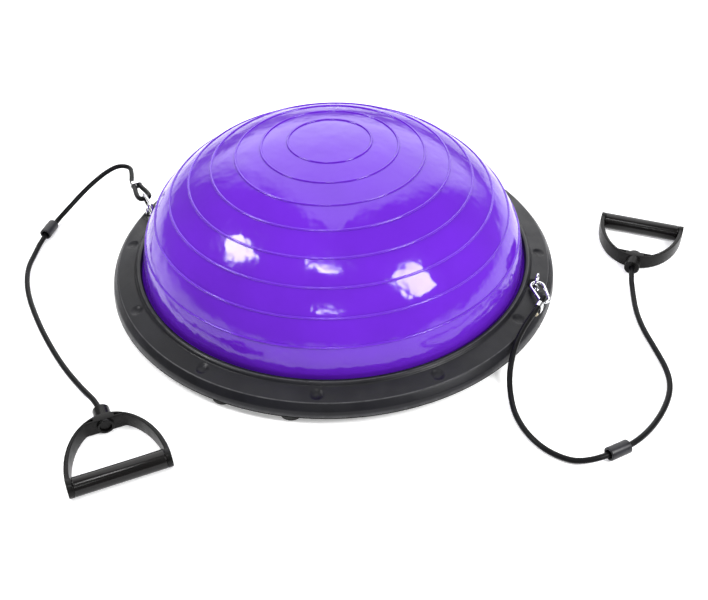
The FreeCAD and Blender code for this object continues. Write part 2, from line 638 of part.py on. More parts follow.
def framed(origin, along, up):
    # A placement whose local x is along and whose local y is nearest to up.
    return Placement(origin, Rotation(along, up, along.cross(up), "XYZ"))


HANDLES = {"left": ((-99.2, -427.9), 41.0), "right": ((397.3, 202.4), 178.0)}


def handle_placement(side):
    (x, y), degrees = HANDLES[side]
    return Placement(Vector(x, y, V.grip_radius + FLOOR_GAP), Rotation(Vector(0, 0, 1), degrees))


def hook_placement(side):
    if side == "left":
        along, up = Vector(-0.70, 0.714, 0).normalize(), Vector(0, 0, 1)
        eye = Vector(-V.pitch_radius, 0, V.eye_height + 1)
        wide, narrow = hook_tangent()
        depth = wide.y + (8 - wide.x) * (narrow.y - wide.y) / (narrow.x - wide.x)
        return framed(eye - along * 8 + up * depth, along, up)
    along, up = Vector(0.477, -0.879, 0).normalize(), Vector(0.879, 0.477, 0).normalize()
    eye = Vector(V.pitch_radius, 0, V.eye_height - 3)
    return framed(eye + Vector(0.30, -0.954, 0).normalize() * V.hook_wide, along, up)


def loop_frame(side):
    # The plane of the cord's loop: its origin at the hook's narrow end, x towards the crimp,
    # y from one strand to the other.
    hook = hook_placement(side)
    origin = hook.multVec(Vector(V.hook_span, 0, 0))
    if side == "left":
        return framed(origin, Vector(-0.68, 0.72, -0.14).normalize(), Vector(0.72, 0.68, 0).normalize())
    return framed(origin, Vector(-0.2, -0.98, 0).normalize(), Vector(0, 0, 1))


LOOPS = {
    # distance along the loop frame's x, half width of the loop there
    "left": [(47, 3.8), (18, 8.4), (0.2, 7.2)],
    "right": [(13.7, 3.8), (0.2, 7.2)],
}
CRIMP_AT = {"left": 54.5, "right": 19.5}
TAIL_AT = {"left": 64, "right": 27.5}
LEAD_AT = {"left": 66, "right": 31}
MAIN_STRAND = {"left": -1, "right": 1}
ROUTES = {
    # from the crimp to the handle
    "left": [(-349, 77, 39), (-362, 97, 38.5), (-383, 95.5, 38), (-393, 74, 36.5), (-401, 51, 32),
             (-410, 28, 24), (-418.5, 3, 14), (-425, -22, 6.5), (-420, -74, 6.4), (-414, -101, 3.9),
             (-407, -129, 3.6), (-391.5, -158, 3.6), (-368, -189, 3.6), (-337, -221, 3.6),
             (-302, -253.5, 3.6), (-256, -291, 3.7), (-212, -320, 4.4)],
    "right": [(282.5, -75, 35.8), (277.5, -96, 33.2), (274.3, -120, 29.5), (274, -142, 20.5),
              (277, -163, 11), (283.5, -184, 5.2), (293, -208, 3.7), (310, -232, 3.6), (331, -249, 3.6),
              (351, -257, 3.8), (371.5, -259.3, 4.4), (395, -249.5, 6.4), (430, -214.5, 6.4),
              (447, -180, 3.8), (458.5, -142, 3.6), (461.5, -108, 3.6), (454.5, -79, 3.6),
              (438, -46, 3.6), (421, -14, 3.7), (409, 18, 3.8), (401, 55, 4.7)],
}
SLEEVES = {"left": ((-422.5, -48.0), -84.5), "right": ((412.5, -232.0), 45.0)}


def cord_points(side):
    loop = loop_frame(side)
    main = MAIN_STRAND[side]

    def strand(sign, distance, width):
        return loop.multVec(Vector(distance, sign * width, 0))
    tail = [strand(-main, TAIL_AT[side], V.strand_offset)]
    tail += [strand(-main, x, y) for x, y in LOOPS[side]]
    lead = [strand(main, x, y) for x, y in reversed(LOOPS[side])]
    lead.append(strand(main, LEAD_AT[side], V.strand_offset))
    handle = handle_placement(side)
    seat = V.boss_start + V.stop_from_boss + V.stop_cap
    inside = [handle.multVec(Vector(0, y, 0)) for y in (V.boss_end + V.cord_lead_in, seat)]
    return tail + lead + [Vector(*p) for p in ROUTES[side]] + inside


def band(side):
    hook = hook_placement(side)
    hook_frame(side, hook)
    hook_gate(side, hook)
    cord(side, cord_points(side))
    crimp(side, loop_frame(side).multiply(Placement(Vector(CRIMP_AT[side], 0, 0), Rotation())))
    sleeve(side, *SLEEVES[side])
    place = handle_placement(side)
    handle_frame(side, place)
    grip_tube(side, place)
    cord_stop(side, place)


def check_and_export():
    doc.recompute()
    for obj in doc.Objects:
        if "Invalid" in obj.State or "Error" in obj.State:
            raise RuntimeError("failed: " + obj.Label + " " + str(obj.State))
    os.makedirs("parts", exist_ok=True)
    for label, obj in nodes.items():
        shape = obj.Shape
        if shape.isNull() or not shape.isValid() or shape.Volume <= 0:
            raise RuntimeError("bad shape: " + label)
        box = shape.BoundBox
        print("%-20s volume %10.1f  x %.1f..%.1f y %.1f..%.1f z %.2f..%.2f" % (
            label, shape.Volume, box.XMin, box.XMax, box.YMin, box.YMax, box.ZMin, box.ZMax))
        shape.exportStep("parts/" + label + ".step")


base_tray()
rim_ring()
rim_screws()
feet()
dome_bladder()
valve_plug()
for name, direction in (("left", -1), ("right", 1)):
    anchor(name, direction)
    band(name)
check_and_export()
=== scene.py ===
import json
import math

import bmesh
import bpy
from mathutils import Matrix, Vector


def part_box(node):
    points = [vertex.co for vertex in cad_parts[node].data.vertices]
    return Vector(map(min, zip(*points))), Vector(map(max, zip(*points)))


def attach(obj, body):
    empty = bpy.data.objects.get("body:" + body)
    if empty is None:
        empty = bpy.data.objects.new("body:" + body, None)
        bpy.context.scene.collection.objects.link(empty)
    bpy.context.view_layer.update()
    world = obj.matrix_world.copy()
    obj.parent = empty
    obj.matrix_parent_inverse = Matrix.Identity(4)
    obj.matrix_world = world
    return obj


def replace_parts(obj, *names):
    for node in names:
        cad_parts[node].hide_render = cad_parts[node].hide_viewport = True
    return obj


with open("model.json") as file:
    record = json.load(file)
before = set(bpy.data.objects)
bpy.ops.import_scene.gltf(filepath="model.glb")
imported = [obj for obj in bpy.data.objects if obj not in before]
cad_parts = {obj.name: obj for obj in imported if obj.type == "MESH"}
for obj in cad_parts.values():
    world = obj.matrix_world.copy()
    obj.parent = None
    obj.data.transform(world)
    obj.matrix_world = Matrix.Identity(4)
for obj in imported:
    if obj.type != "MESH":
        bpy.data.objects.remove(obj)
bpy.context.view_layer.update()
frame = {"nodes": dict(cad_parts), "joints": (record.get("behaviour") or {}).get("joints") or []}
print("frame loaded:", len(frame["nodes"]), "nodes")

scene = bpy.context.scene
joints = {joint["name"]: joint for joint in frame["joints"]}
sides = ("left", "right")
weldDistance = 2e-6


# helpers

def addObject(name, data):
    piece = bpy.data.objects.new(name, data)
    scene.collection.objects.link(piece)
    return piece


def smoothByAngle(mesh, degrees):
    # smooth faces, with edges sharper than the angle kept crisp
    mesh.shade_smooth()
    edit = bmesh.new()
    edit.from_mesh(mesh)
    for edge in edit.edges:
        angle = edge.calc_face_angle(0.0)
        edge.smooth = len(edge.link_faces) == 2 and angle < math.radians(degrees)
    edit.to_mesh(mesh)
    edit.free()


def lathe(name, outline, steps, material, sharp=40):
    # turns an outline of (radius, height) points about Z; radius 0 makes a pole
    edit = bmesh.new()
    rings = []
    for radius, height in outline:
        if radius < 1e-7:
            rings.append([edit.verts.new((0, 0, height))])
            continue
        turns = [2 * math.pi * k / steps for k in range(steps)]
        points = [(radius * math.cos(a), radius * math.sin(a), height) for a in turns]
        rings.append([edit.verts.new(point) for point in points])
    for lower, upper in zip(rings, rings[1:] + rings[:1]):
        if len(lower) == 1 and len(upper) == 1:
            continue
        for k in range(steps):
            n = (k + 1) % steps
            corners = [lower[k % len(lower)], lower[n % len(lower)],
                       upper[n % len(upper)], upper[k % len(upper)]]
            edit.faces.new(list(dict.fromkeys(corners)))
    bmesh.ops.recalc_face_normals(edit, faces=edit.faces)
    mesh = bpy.data.meshes.new(name)
    edit.to_mesh(mesh)
    edit.free()
    mesh.materials.append(material)
    smoothByAngle(mesh, sharp)
    return addObject(name, mesh)


def roundedOutline(points, radius, steps=4):
    # closed outline with each corner replaced by a small arc
    made = []
    count = len(points)
    for k in range(count):
        before, corner, after = (Vector(points[(k + d) % count]) for d in (-1, 0, 1))
        reach = min(radius, 0.45 * (before - corner).length, 0.45 * (after - corner).length)
        if corner.x < 1e-7:
            made.append(tuple(corner))
            continue
        start = corner + (before - corner).normalized() * reach
        end = corner + (after - corner).normalized() * reach
        for s in range(steps + 1):
            t = s / steps
            made.append(tuple(start * (1 - t) ** 2 + corner * 2 * t * (1 - t) + end * t ** 2))
    return made


def flatten(piece, kind, **settings):
    # adds a modifier and bakes its result into the mesh
    modifier = piece.modifiers.new(kind.title(), kind)
    for key, value in settings.items():
        setattr(modifier, key, value)
    depsgraph = bpy.context.evaluated_depsgraph_get()
    piece.data = bpy.data.meshes.new_from_object(piece.evaluated_get(depsgraph))
    piece.modifiers.clear()


def combine(piece, other, operation):
    flatten(piece, "BOOLEAN", object=other, operation=operation, solver="EXACT")
    bpy.data.objects.remove(other)


def finishedCopy(node, material, sharp=35):
    # a CAD node's own shape, merged and smoothed
    mesh = frame["nodes"][node].data.copy()
    piece = addObject(node + "_finish", mesh)
    edit = bmesh.new()
    edit.from_mesh(mesh)
    bmesh.ops.remove_doubles(edit, verts=edit.verts, dist=weldDistance)
    edit.to_mesh(mesh)
    edit.free()
    mesh.materials.clear()
    mesh.materials.append(material)
    smoothByAngle(piece.data, sharp)
    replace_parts(piece, node)
    return piece


def boxPiece(name, size, centre):
    edit = bmesh.new()
    bmesh.ops.create_cube(edit, size=1, matrix=Matrix.Translation(centre) @ Matrix.Diagonal((*size, 1)))
    mesh = bpy.data.meshes.new(name)
    edit.to_mesh(mesh)
    edit.free()
    return addObject(name, mesh)


def place(piece, matrix):
    piece.data.transform(matrix)
    return piece


# materials

def newMaterial(name, color, roughness, **sockets):
    material = bpy.data.materials.new(name)
    material.use_nodes = True
    shader = material.node_tree.nodes["Principled BSDF"]
    shader.inputs["Base Color"].default_value = (*color, 1)
    shader.inputs["Roughness"].default_value = roughness
    for key, value in sockets.items():
        shader.inputs[key.replace("_", " ")].default_value = value
    return material, material.node_tree, shader


def noise(tree, scale, detail=3.0, roughness=0.5):
    place3d = tree.nodes.new("ShaderNodeTexCoord")
    texture = tree.nodes.new("ShaderNodeTexNoise")
    texture.inputs["Scale"].default_value = scale
    texture.inputs["Detail"].default_value = detail
    texture.inputs["Roughness"].default_value = roughness
    tree.links.new(place3d.outputs["Object"], texture.inputs["Vector"])
    return texture.outputs["Fac"]


def ramp(tree, value, low, high, start=0.35, end=0.65):
    # colour or grey from low to high as the value goes from start to end
    node = tree.nodes.new("ShaderNodeValToRGB")
    for element, at, tone in zip(node.color_ramp.elements, (start, end), (low, high)):
        element.position = at
        element.color = (*tone, 1) if isinstance(tone, tuple) else (tone, tone, tone, 1)
    tree.links.new(value, node.inputs["Fac"])
    return node.outputs["Color"]


def bump(tree, shader, value, strength, distance):
    node = tree.nodes.new("ShaderNodeBump")
    node.inputs["Strength"].default_value = strength
    node.inputs["Distance"].default_value = distance
    tree.links.new(value, node.inputs["Height"])
    tree.links.new(node.outputs["Normal"], shader.inputs["Normal"])


def maths(tree, operation, first, second):
    node = tree.nodes.new("ShaderNodeMath")
    node.operation = operation
    for entry, value in enumerate((first, second)):
        if isinstance(value, (int, float)):
            node.inputs[entry].default_value = value
        else:
            tree.links.new(value, node.inputs[entry])
    return node.outputs[0]


def vectorMaths(tree, operation, first, second=None):
    node = tree.nodes.new("ShaderNodeVectorMath")
    node.operation = operation
    tree.links.new(first, node.inputs[0])
    if second:
        node.inputs[1].default_value = second
    return node


def graded(tree, value, low, high):
    node = tree.nodes.new("ShaderNodeMapRange")
    node.interpolation_type = "SMOOTHSTEP"
    node.inputs["From Min"].default_value = low
    node.inputs["From Max"].default_value = high
    tree.links.new(value, node.inputs["Value"])
    return node.outputs["Result"]


def domeVinyl():
    material, tree, shader = newMaterial("domeVinyl", (0.106, 0.013, 0.455), 0.10, Specular_IOR_Level=0.40)
    # faint mottling of the soft vinyl, and a polish that varies from place to place
    tint = ramp(tree, noise(tree, 9, 2), (0.100, 0.012, 0.43), (0.113, 0.014, 0.485))
    tree.links.new(tint, shader.inputs["Base Color"])
    tree.links.new(ramp(tree, noise(tree, 26, 4), 0.07, 0.13), shader.inputs["Roughness"])
    bump(tree, shader, noise(tree, 17, 3), 0.42, 0.0060)
    return material


# radii and half-width of the painted highlight lines on the rim's shoulder, lip and seam
highlightLines = {"shoulder": 0.2913, "lip": 0.2646, "seam": 0.2999, "width": 0.0011}


def shellPlastic():
    material, tree, shader = newMaterial("shellPlastic", (0.007, 0.007, 0.009), 0.38, Specular_IOR_Level=0.20)
    # moulded grain, with painted highlight lines lightening the shoulder, lip and seam edges all round
    place3d = tree.nodes.new("ShaderNodeTexCoord").outputs["Object"]
    flat = vectorMaths(tree, "MULTIPLY", place3d, (1, 1, 0)).outputs["Vector"]
    radius = vectorMaths(tree, "LENGTH", flat).outputs["Value"]
    paintedHighlight = 0.0
    for edge in ("shoulder", "lip", "seam"):
        away = maths(tree, "ABSOLUTE", maths(tree, "SUBTRACT", radius, highlightLines[edge]), 0.0)
        paintedHighlight = maths(tree, "ADD", paintedHighlight, graded(tree, away, highlightLines["width"], 0.0))
    # noise breaks up the painted highlight lines unevenly
    paintedHighlight = maths(tree, "MULTIPLY", paintedHighlight, ramp(tree, noise(tree, 60, 5, 0.7), 0.35, 1.0))
    base = ramp(tree, noise(tree, 14, 5), (0.0045, 0.0045, 0.006), (0.009, 0.009, 0.012))
    tint = tree.nodes.new("ShaderNodeMix")
    tint.data_type = "RGBA"
    tree.links.new(paintedHighlight, tint.inputs["Factor"])
    tree.links.new(base, tint.inputs[6])
    # the painted highlight colour of the edge lines
    tint.inputs[7].default_value = (0.070, 0.070, 0.074, 1)
    tree.links.new(tint.outputs[2], shader.inputs["Base Color"])
    tree.links.new(ramp(tree, noise(tree, 30, 6, 0.7), 0.30, 0.46), shader.inputs["Roughness"])
    bump(tree, shader, noise(tree, 950, 2), 0.32, 0.0004)
    return material


def trayPlastic():
    material, tree, shader = newMaterial("trayPlastic", (0.014, 0.015, 0.014), 0.5, Specular_IOR_Level=0.3)
    tint = ramp(tree, noise(tree, 20, 5), (0.008, 0.009, 0.008), (0.014, 0.015, 0.014))
    tree.links.new(tint, shader.inputs["Base Color"])
    bump(tree, shader, noise(tree, 700, 3), 0.3, 0.0003)
    return material


def handlePlastic():
    material, tree, shader = newMaterial("handlePlastic", (0.0045, 0.0042, 0.0042), 0.30,
                                         Specular_IOR_Level=0.12)
    tint = ramp(tree, noise(tree, 60, 4), (0.003, 0.003, 0.003), (0.007, 0.0065, 0.0065))
    tree.links.new(tint, shader.inputs["Base Color"])
    tree.links.new(ramp(tree, noise(tree, 120, 5), 0.25, 0.37), shader.inputs["Roughness"])
    bump(tree, shader, noise(tree, 1500, 2), 0.12, 0.0002)
    return material


def gripPlastic():
    material, tree, shader = newMaterial("gripPlastic", (0.0045, 0.004, 0.004), 0.20, Specular_IOR_Level=0.24)
    tree.links.new(ramp(tree, noise(tree, 22, 3), 0.17, 0.24), shader.inputs["Roughness"])
    bump(tree, shader, noise(tree, 1400, 2), 0.04, 0.0002)
    return material


def plainRubber(name, color, roughness, grain=1200, gloss=0.35):
    material, tree, shader = newMaterial(name, color, roughness, Specular_IOR_Level=gloss)
    darker = tuple(c * 0.75 for c in color)
    lighter = tuple(c * 1.3 for c in color)
    tree.links.new(ramp(tree, noise(tree, 110, 4), darker, lighter), shader.inputs["Base Color"])
    bump(tree, shader, noise(tree, grain, 2), 0.15, 0.0002)
    return material


def brightSteel(name, color, roughness):
    material, tree, shader = newMaterial(name, color, roughness, Metallic=1.0)
    # bright plating with fine drawn scratches
    tree.links.new(ramp(tree, noise(tree, 300, 6, 0.7), roughness * 0.7, roughness * 1.5),
                   shader.inputs["Roughness"])
    bump(tree, shader, noise(tree, 700, 4), 0.08, 0.0002)
    return material


vinyl = domeVinyl()
shell = shellPlastic()
tray = trayPlastic()
handleBlack = handlePlastic()
gripBlack = gripPlastic()
footRubber = plainRubber("footRubber", (0.008, 0.008, 0.008), 0.62)
cordSkin = plainRubber("cordSkin", (0.004, 0.004, 0.0045), 0.36, 900, 0.09)
sleeveRubber = plainRubber("sleeveRubber", (0.014, 0.014, 0.017), 0.34, gloss=0.25)
corePale = plainRubber("corePale", (0.72, 0.64, 0.45), 0.6)
plugWhite = plainRubber("plugWhite", (0.55, 0.53, 0.56), 0.45)
steel = brightSteel("steel", (0.66, 0.66, 0.69), 0.10)
crimpSteel = brightSteel("crimpSteel", (0.74, 0.74, 0.75), 0.18)
screwSteel = brightSteel("screwSteel", (0.45, 0.45, 0.46), 0.35)
print("materials made")


# camera

camera = {"place": (0.3664, -0.9971, 0.8240), "forward": (-0.2465, 0.7271, -0.6406), "roll": -1.103,
          "lens": 49.04, "sensor": 36, "reach": 20}


def makeCamera():
    data = bpy.data.cameras.new("camera")
    data.lens = camera["lens"]
    data.sensor_width = camera["sensor"]
    data.clip_end = camera["reach"]
    eye = addObject("camera", data)
    turn = Vector(camera["forward"]).to_track_quat("-Z", "Y").to_matrix().to_4x4()
    roll = Matrix.Rotation(math.radians(camera["roll"]), 4, "Z")
    eye.matrix_world = Matrix.Translation(camera["place"]) @ turn @ roll
    scene.camera = eye


makeCamera()
print("camera set")


# cords: each runs from its knot in the handle, through the sleeve and crimp, round the hook and back

cord = {"diameter": 0.007, "length": {"left": 0.796, "right": 0.752}, "coreRadius": 0.0031,
        "coreProud": 0.0014, "coreSunk": 0.001, "coreRound": 0.0003, "steps": 10, "rounding": 5}
cordRoutes = {  # millimetres
    "left": [(-150.1, -369.3, 11.2), (-172.0, -344.1, 11.2), (-212, -320, 4.4), (-256, -291, 3.7),
             (-302, -253.5, 3.6), (-337, -221, 3.6), (-368, -189, 3.6), (-391.5, -158, 3.6),
             (-407, -129, 3.6), (-414, -101, 3.9), (-420, -74, 6.4), (-425, -22, 6.5), (-418.5, 3, 14),
             (-410, 28, 24),
             (-401, 51, 32), (-393, 74, 36.5), (-383, 95.5, 38), (-362, 97, 38.5), (-349, 77, 39),
             (-339.2, 57.8, 39.0), (-326.3, 44.1, 41.7), (-309.9, 20.0, 45.7), (-297.0, 8.1, 48.2),
             (-286.5, 17.9, 48.2), (-297.7, 31.6, 45.7), (-320.8, 49.3, 41.7), (-332.3, 61.5, 39.3)],
    "right": [(394.6, 124.8, 11.2), (393.4, 91.5, 11.2), (401, 55, 4.7), (409, 18, 3.8), (421, -14, 3.7),
              (438, -46, 3.6), (454.5, -79, 3.6), (461.5, -108, 3.6), (458.5, -142, 3.6), (447, -180, 3.8),
              (430, -214.5, 7.8), (412.5, -232, 7.8), (395, -249.5, 7.8), (371.5, -259.3, 4.6),
              (351, -257, 3.8), (331, -249, 3.6), (310, -232, 3.6), (293, -208, 3.7), (283.5, -184, 5.2),
              (277, -163, 11), (274, -142, 20.5), (274.3, -120, 29.5), (277.5, -96, 33.2),
              (282.5, -75, 35.8), (287.8, -61.3, 40.3), (291.2, -44.4, 40.3), (293.9, -31.2, 43.7),
              (293.9, -31.2, 29.3), (291.2, -44.4, 32.7),
              (288.5, -57.9, 32.7)],
}


def makeCord(side):
    points = [Vector(point) / 1000 for point in cordRoutes[side]]
    curve = bpy.data.curves.new(side + "_elastic", "CURVE")
    curve.dimensions = "3D"
    spline = curve.splines.new("NURBS")
    spline.points.add(len(points) - 1)
    for point, at in zip(spline.points, points):
        point.co = (*at, 1)
    spline.order_u = 3
    spline.use_endpoint_u = True
    curve.resolution_u = cord["steps"]
    curve.bevel_depth = cord["diameter"] / 2
    curve.bevel_resolution = cord["rounding"]
    curve.use_fill_caps = True
    curve.materials.append(cordSkin)
    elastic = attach(addObject(side + "_elastic", curve), side + "_band")
    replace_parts(elastic, side + "_cord")
    # the pale rubber core shows at the cut end
    radius, low, high = cord["coreRadius"], -cord["coreSunk"], cord["coreProud"]
    outline = roundedOutline([(0, low), (radius, low), (radius, high), (0, high)], cord["coreRound"])
    core = lathe(side + "_core_end", outline, 32, corePale)
    outwards = (points[-1] - points[-2]).to_track_quat("Z", "Y").to_matrix().to_4x4()
    place(core, Matrix.Translation(points[-1]) @ outwards)
    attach(core, side + "_band")
    return elastic, core


elastics = {side: makeCord(side) for side in sides}
print("cords laid")


# dome

dome = {"radius": 0.256, "rise": 0.1727, "centreHeight": 0.0315, "wall": 0.003, "turns": 320, "rows": 150,
        "beadRadius": 0.267, "beadLow": 0.024, "beadTop": 0.028, "beadStep": 0.001, "insideEvery": 5}
ribs = {"count": 8, "first": 0.0532, "spacing": 0.0348, "halfWidth": 0.0016, "sunk": 0.0001, "turns": 256,
        "rows": 600, "sides": 10}
valve = {"height": 0.054, "bore": 0.00515, "cut": 0.02, "lipRadius": 0.0108, "lipSize": 0.0011,
         "lipFlat": 0.8, "lipSides": 16}


def domePoint(angle, grow=0.0):
    height = dome["centreHeight"] + (dome["rise"] + grow) * math.sin(angle)
    return (dome["radius"] + grow) * math.cos(angle), height


def valveFrame():
    # on the back, low down, with its Z square to the skin
    angle = math.asin((valve["height"] - dome["centreHeight"]) / dome["rise"])
    radius, height = domePoint(angle)
    outwards = Vector((0, math.cos(angle) / dome["radius"], math.sin(angle) / dome["rise"]))
    return Matrix.Translation((0, radius, height)) @ outwards.to_track_quat("Z", "X").to_matrix().to_4x4()


def makeDome():
    angles = [math.pi / 2 * (1 - k / dome["rows"]) for k in range(dome["rows"] + 1)]
    outline = [(0, domePoint(math.pi / 2)[1])] + [domePoint(a) for a in angles[1:]]
    low, floor, step = dome["beadLow"], dome["beadLow"] + dome["wall"], dome["beadStep"]
    outline += [(dome["radius"], dome["beadTop"] + step), (dome["radius"] + step, dome["beadTop"]),
                (dome["beadRadius"], dome["beadTop"]), (dome["beadRadius"], low), (0, low), (0, floor)]
    inside = [domePoint(a, -dome["wall"]) for a in reversed(angles[::dome["insideEvery"]])]
    outline += [(inside[0][0], floor)] + inside[:-1] + [(0, inside[-1][1])]
    skin = lathe("dome_skin", outline, dome["turns"], vinyl, 50)
    radius, cut = valve["bore"], valve["cut"]
    bore = lathe("bore", [(0, -cut), (radius, -cut), (radius, cut), (0, cut)], 48, vinyl)
    place(bore, valveFrame())
    combine(skin, bore, "DIFFERENCE")
    smoothByAngle(skin.data, 50)
    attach(skin, "base")
    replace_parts(skin, "dome_bladder")
    lip, count = valve["lipSize"], valve["lipSides"]
    ring = [(valve["lipRadius"] + lip * math.cos(t), lip * valve["lipFlat"] * math.sin(t))
            for t in [2 * math.pi * k / count for k in range(count)]]
    collar = place(lathe("valve_collar", ring, 64, vinyl), valveFrame())
    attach(collar, "base")


# geometry nodes

def newTree(name, inputs):
    # a modifier tree with one geometry in and out, and named inputs of (kind, value)
    tree = bpy.data.node_groups.new(name, "GeometryNodeTree")
    tree.interface.new_socket("Geometry", in_out="INPUT", socket_type="NodeSocketGeometry")
    tree.interface.new_socket("Geometry", in_out="OUTPUT", socket_type="NodeSocketGeometry")
    for label, (kind, value) in inputs.items():
        socket = tree.interface.new_socket(label, in_out="INPUT", socket_type="NodeSocket" + kind)
        if value is not None:
            socket.default_value = value
    return tree, tree.nodes.new("NodeGroupInput"), tree.nodes.new("NodeGroupOutput")


def link(tree, source, output, target, entry):
    tree.links.new(source.outputs[output], target.inputs[entry])


def realised(tree, geometry, group, out):
    # ends a tree: instances made real, then given their material
    real = tree.nodes.new("GeometryNodeRealizeInstances")
    paint = tree.nodes.new("GeometryNodeSetMaterial")
    smooth = tree.nodes.new("GeometryNodeSetShadeSmooth")
    tree.links.new(geometry, real.inputs["Geometry"])
    link(tree, real, "Geometry", smooth, "Geometry")
    link(tree, smooth, "Geometry", paint, "Geometry")
    tree.links.new(group.outputs["Material"], paint.inputs["Material"])
    link(tree, paint, "Geometry", out, "Geometry")


def runTree(piece, tree, values):
    modifier = piece.modifiers.new("build", "NODES")
    modifier.node_group = tree
    names = {item.name: item.identifier for item in tree.interface.items_tree if item.in_out == "INPUT"}
    for label, value in values.items():
        modifier[names[label]] = value
    depsgraph = bpy.context.evaluated_depsgraph_get()
    mesh = bpy.data.meshes.new_from_object(piece.evaluated_get(depsgraph))
    name = piece.name
    bpy.data.objects.remove(piece)
    return addObject(name, mesh)


def ribTree():
    # raised rings at equal steps along the dome's profile, which is the curve that comes in
    tree, group, out = newTree("ribRings", {"Count": ("Int", 8), "First": ("Float", 0.05),
                               "Spacing": ("Float", 0.03), "Half Width": ("Float", 0.001),
                               "Sunk": ("Float", 0.0), "Turns": ("Int", 128), "Material": ("Material", None)})
    index = tree.nodes.new("GeometryNodeInputIndex")
    length = maths(tree, "ADD", maths(tree, "MULTIPLY", index.outputs[0], group.outputs["Spacing"]),
                   group.outputs["First"])
    sample = tree.nodes.new("GeometryNodeSampleCurve")
    sample.mode = "LENGTH"
    link(tree, group, "Geometry", sample, "Curves")
    tree.links.new(length, sample.inputs["Length"])
    split = tree.nodes.new("ShaderNodeSeparateXYZ")
    link(tree, sample, "Position", split, "Vector")
    join = tree.nodes.new("ShaderNodeCombineXYZ")
    link(tree, split, "Z", join, "Z")
    points = tree.nodes.new("GeometryNodePoints")
    link(tree, group, "Count", points, "Count")
    link(tree, join, "Vector", points, "Position")
    ring = tree.nodes.new("GeometryNodeCurvePrimitiveCircle")
    link(tree, group, "Turns", ring, "Resolution")
    ring.inputs["Radius"].default_value = 1
    radius = maths(tree, "SUBTRACT", split.outputs["X"], group.outputs["Sunk"])
    size = tree.nodes.new("ShaderNodeCombineXYZ")
    tree.links.new(radius, size.inputs["X"])
    tree.links.new(radius, size.inputs["Y"])
    size.inputs["Z"].default_value = 1
    keep = tree.nodes.new("GeometryNodeStoreNamedAttribute")
    keep.data_type = "FLOAT_VECTOR"
    keep.inputs["Name"].default_value = "ringSize"
    tree.links.new(points.outputs[0], keep.inputs["Geometry"])
    tree.links.new(size.outputs[0], keep.inputs["Value"])
    read = tree.nodes.new("GeometryNodeInputNamedAttribute")
    read.data_type = "FLOAT_VECTOR"
    read.inputs["Name"].default_value = "ringSize"
    spread = tree.nodes.new("GeometryNodeInstanceOnPoints")
    link(tree, keep, "Geometry", spread, "Points")
    link(tree, ring, "Curve", spread, "Instance")
    tree.links.new(read.outputs["Attribute"], spread.inputs["Scale"])
    real = tree.nodes.new("GeometryNodeRealizeInstances")
    link(tree, spread, "Instances", real, "Geometry")
    bead = tree.nodes.new("GeometryNodeCurvePrimitiveCircle")
    bead.inputs["Resolution"].default_value = ribs["sides"]
    link(tree, group, "Half Width", bead, "Radius")
    sweep = tree.nodes.new("GeometryNodeCurveToMesh")
    link(tree, real, "Geometry", sweep, "Curve")
    link(tree, bead, "Curve", sweep, "Profile Curve")
    realised(tree, sweep.outputs["Mesh"], group, out)
    return tree


def makeRibs():
    profile = bpy.data.curves.new("dome_ribs", "CURVE")
    profile.dimensions = "3D"
    spline = profile.splines.new("POLY")
    rows = ribs["rows"]
    spline.points.add(rows)
    for k, point in enumerate(spline.points):
        radius, height = domePoint(math.pi / 2 * (1 - k / rows))
        point.co = (radius, 0, height, 1)
    rings = runTree(addObject("dome_ribs", profile), ribTree(), {
        "Count": ribs["count"], "First": ribs["first"], "Spacing": ribs["spacing"],
        "Half Width": ribs["halfWidth"], "Sunk": ribs["sunk"], "Turns": ribs["turns"], "Material": vinyl})
    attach(rings, "base")


makeDome()
makeRibs()
print("dome made")


# rim: the upper ring with its dimples and anchor recesses

rim = {"radius": 0.300, "low": 0.0116, "wallRadius": 0.2982, "wallHeight": 0.0205, "shoulderRadius": 0.2920,
       "shoulderHeight": 0.0282, "faceRadius": 0.2685, "faceHeight": 0.0326, "lipRadius": 0.264,
       "lipHeight": 0.0366, "lipInner": 0.2594, "lipDrop": 0.0026, "lipWidth": 0.0032, "lipFall": 0.0002,
       "stepIn": 0.0016, "stepUp": 0.0022, "beadTop": 0.028, "skin": 0.0032, "lowSkin": 0.0046,
       "wallStep": 0.001, "shoulderSkin": 0.0024, "innerRadius": 0.270, "round": 0.0014, "faceStart": 0.09,
       "faceShare": 0.84, "faceRows": 18, "faceFrom": 0.001, "turns": 1020}
dimples = {"count": 12, "pitch": 0.279, "radius": 0.0078, "depth": 0.0021, "first": 15, "bowl": 0.75,
           "above": 0.0268, "from": 0.264, "to": 0.2935}
recess = {"radius": 0.0075, "top": 0.0118, "floor": 0.027}
rolled = {"from": 0.2975, "under": 0.0095, "bend": 0.0067, "radius": 0.2925, "sideRadius": 0.2972,
          "sideHeight": 0.0086}


dimpleAngles = [dimples["first"] + 360 * k / dimples["count"] for k in range(dimples["count"])]


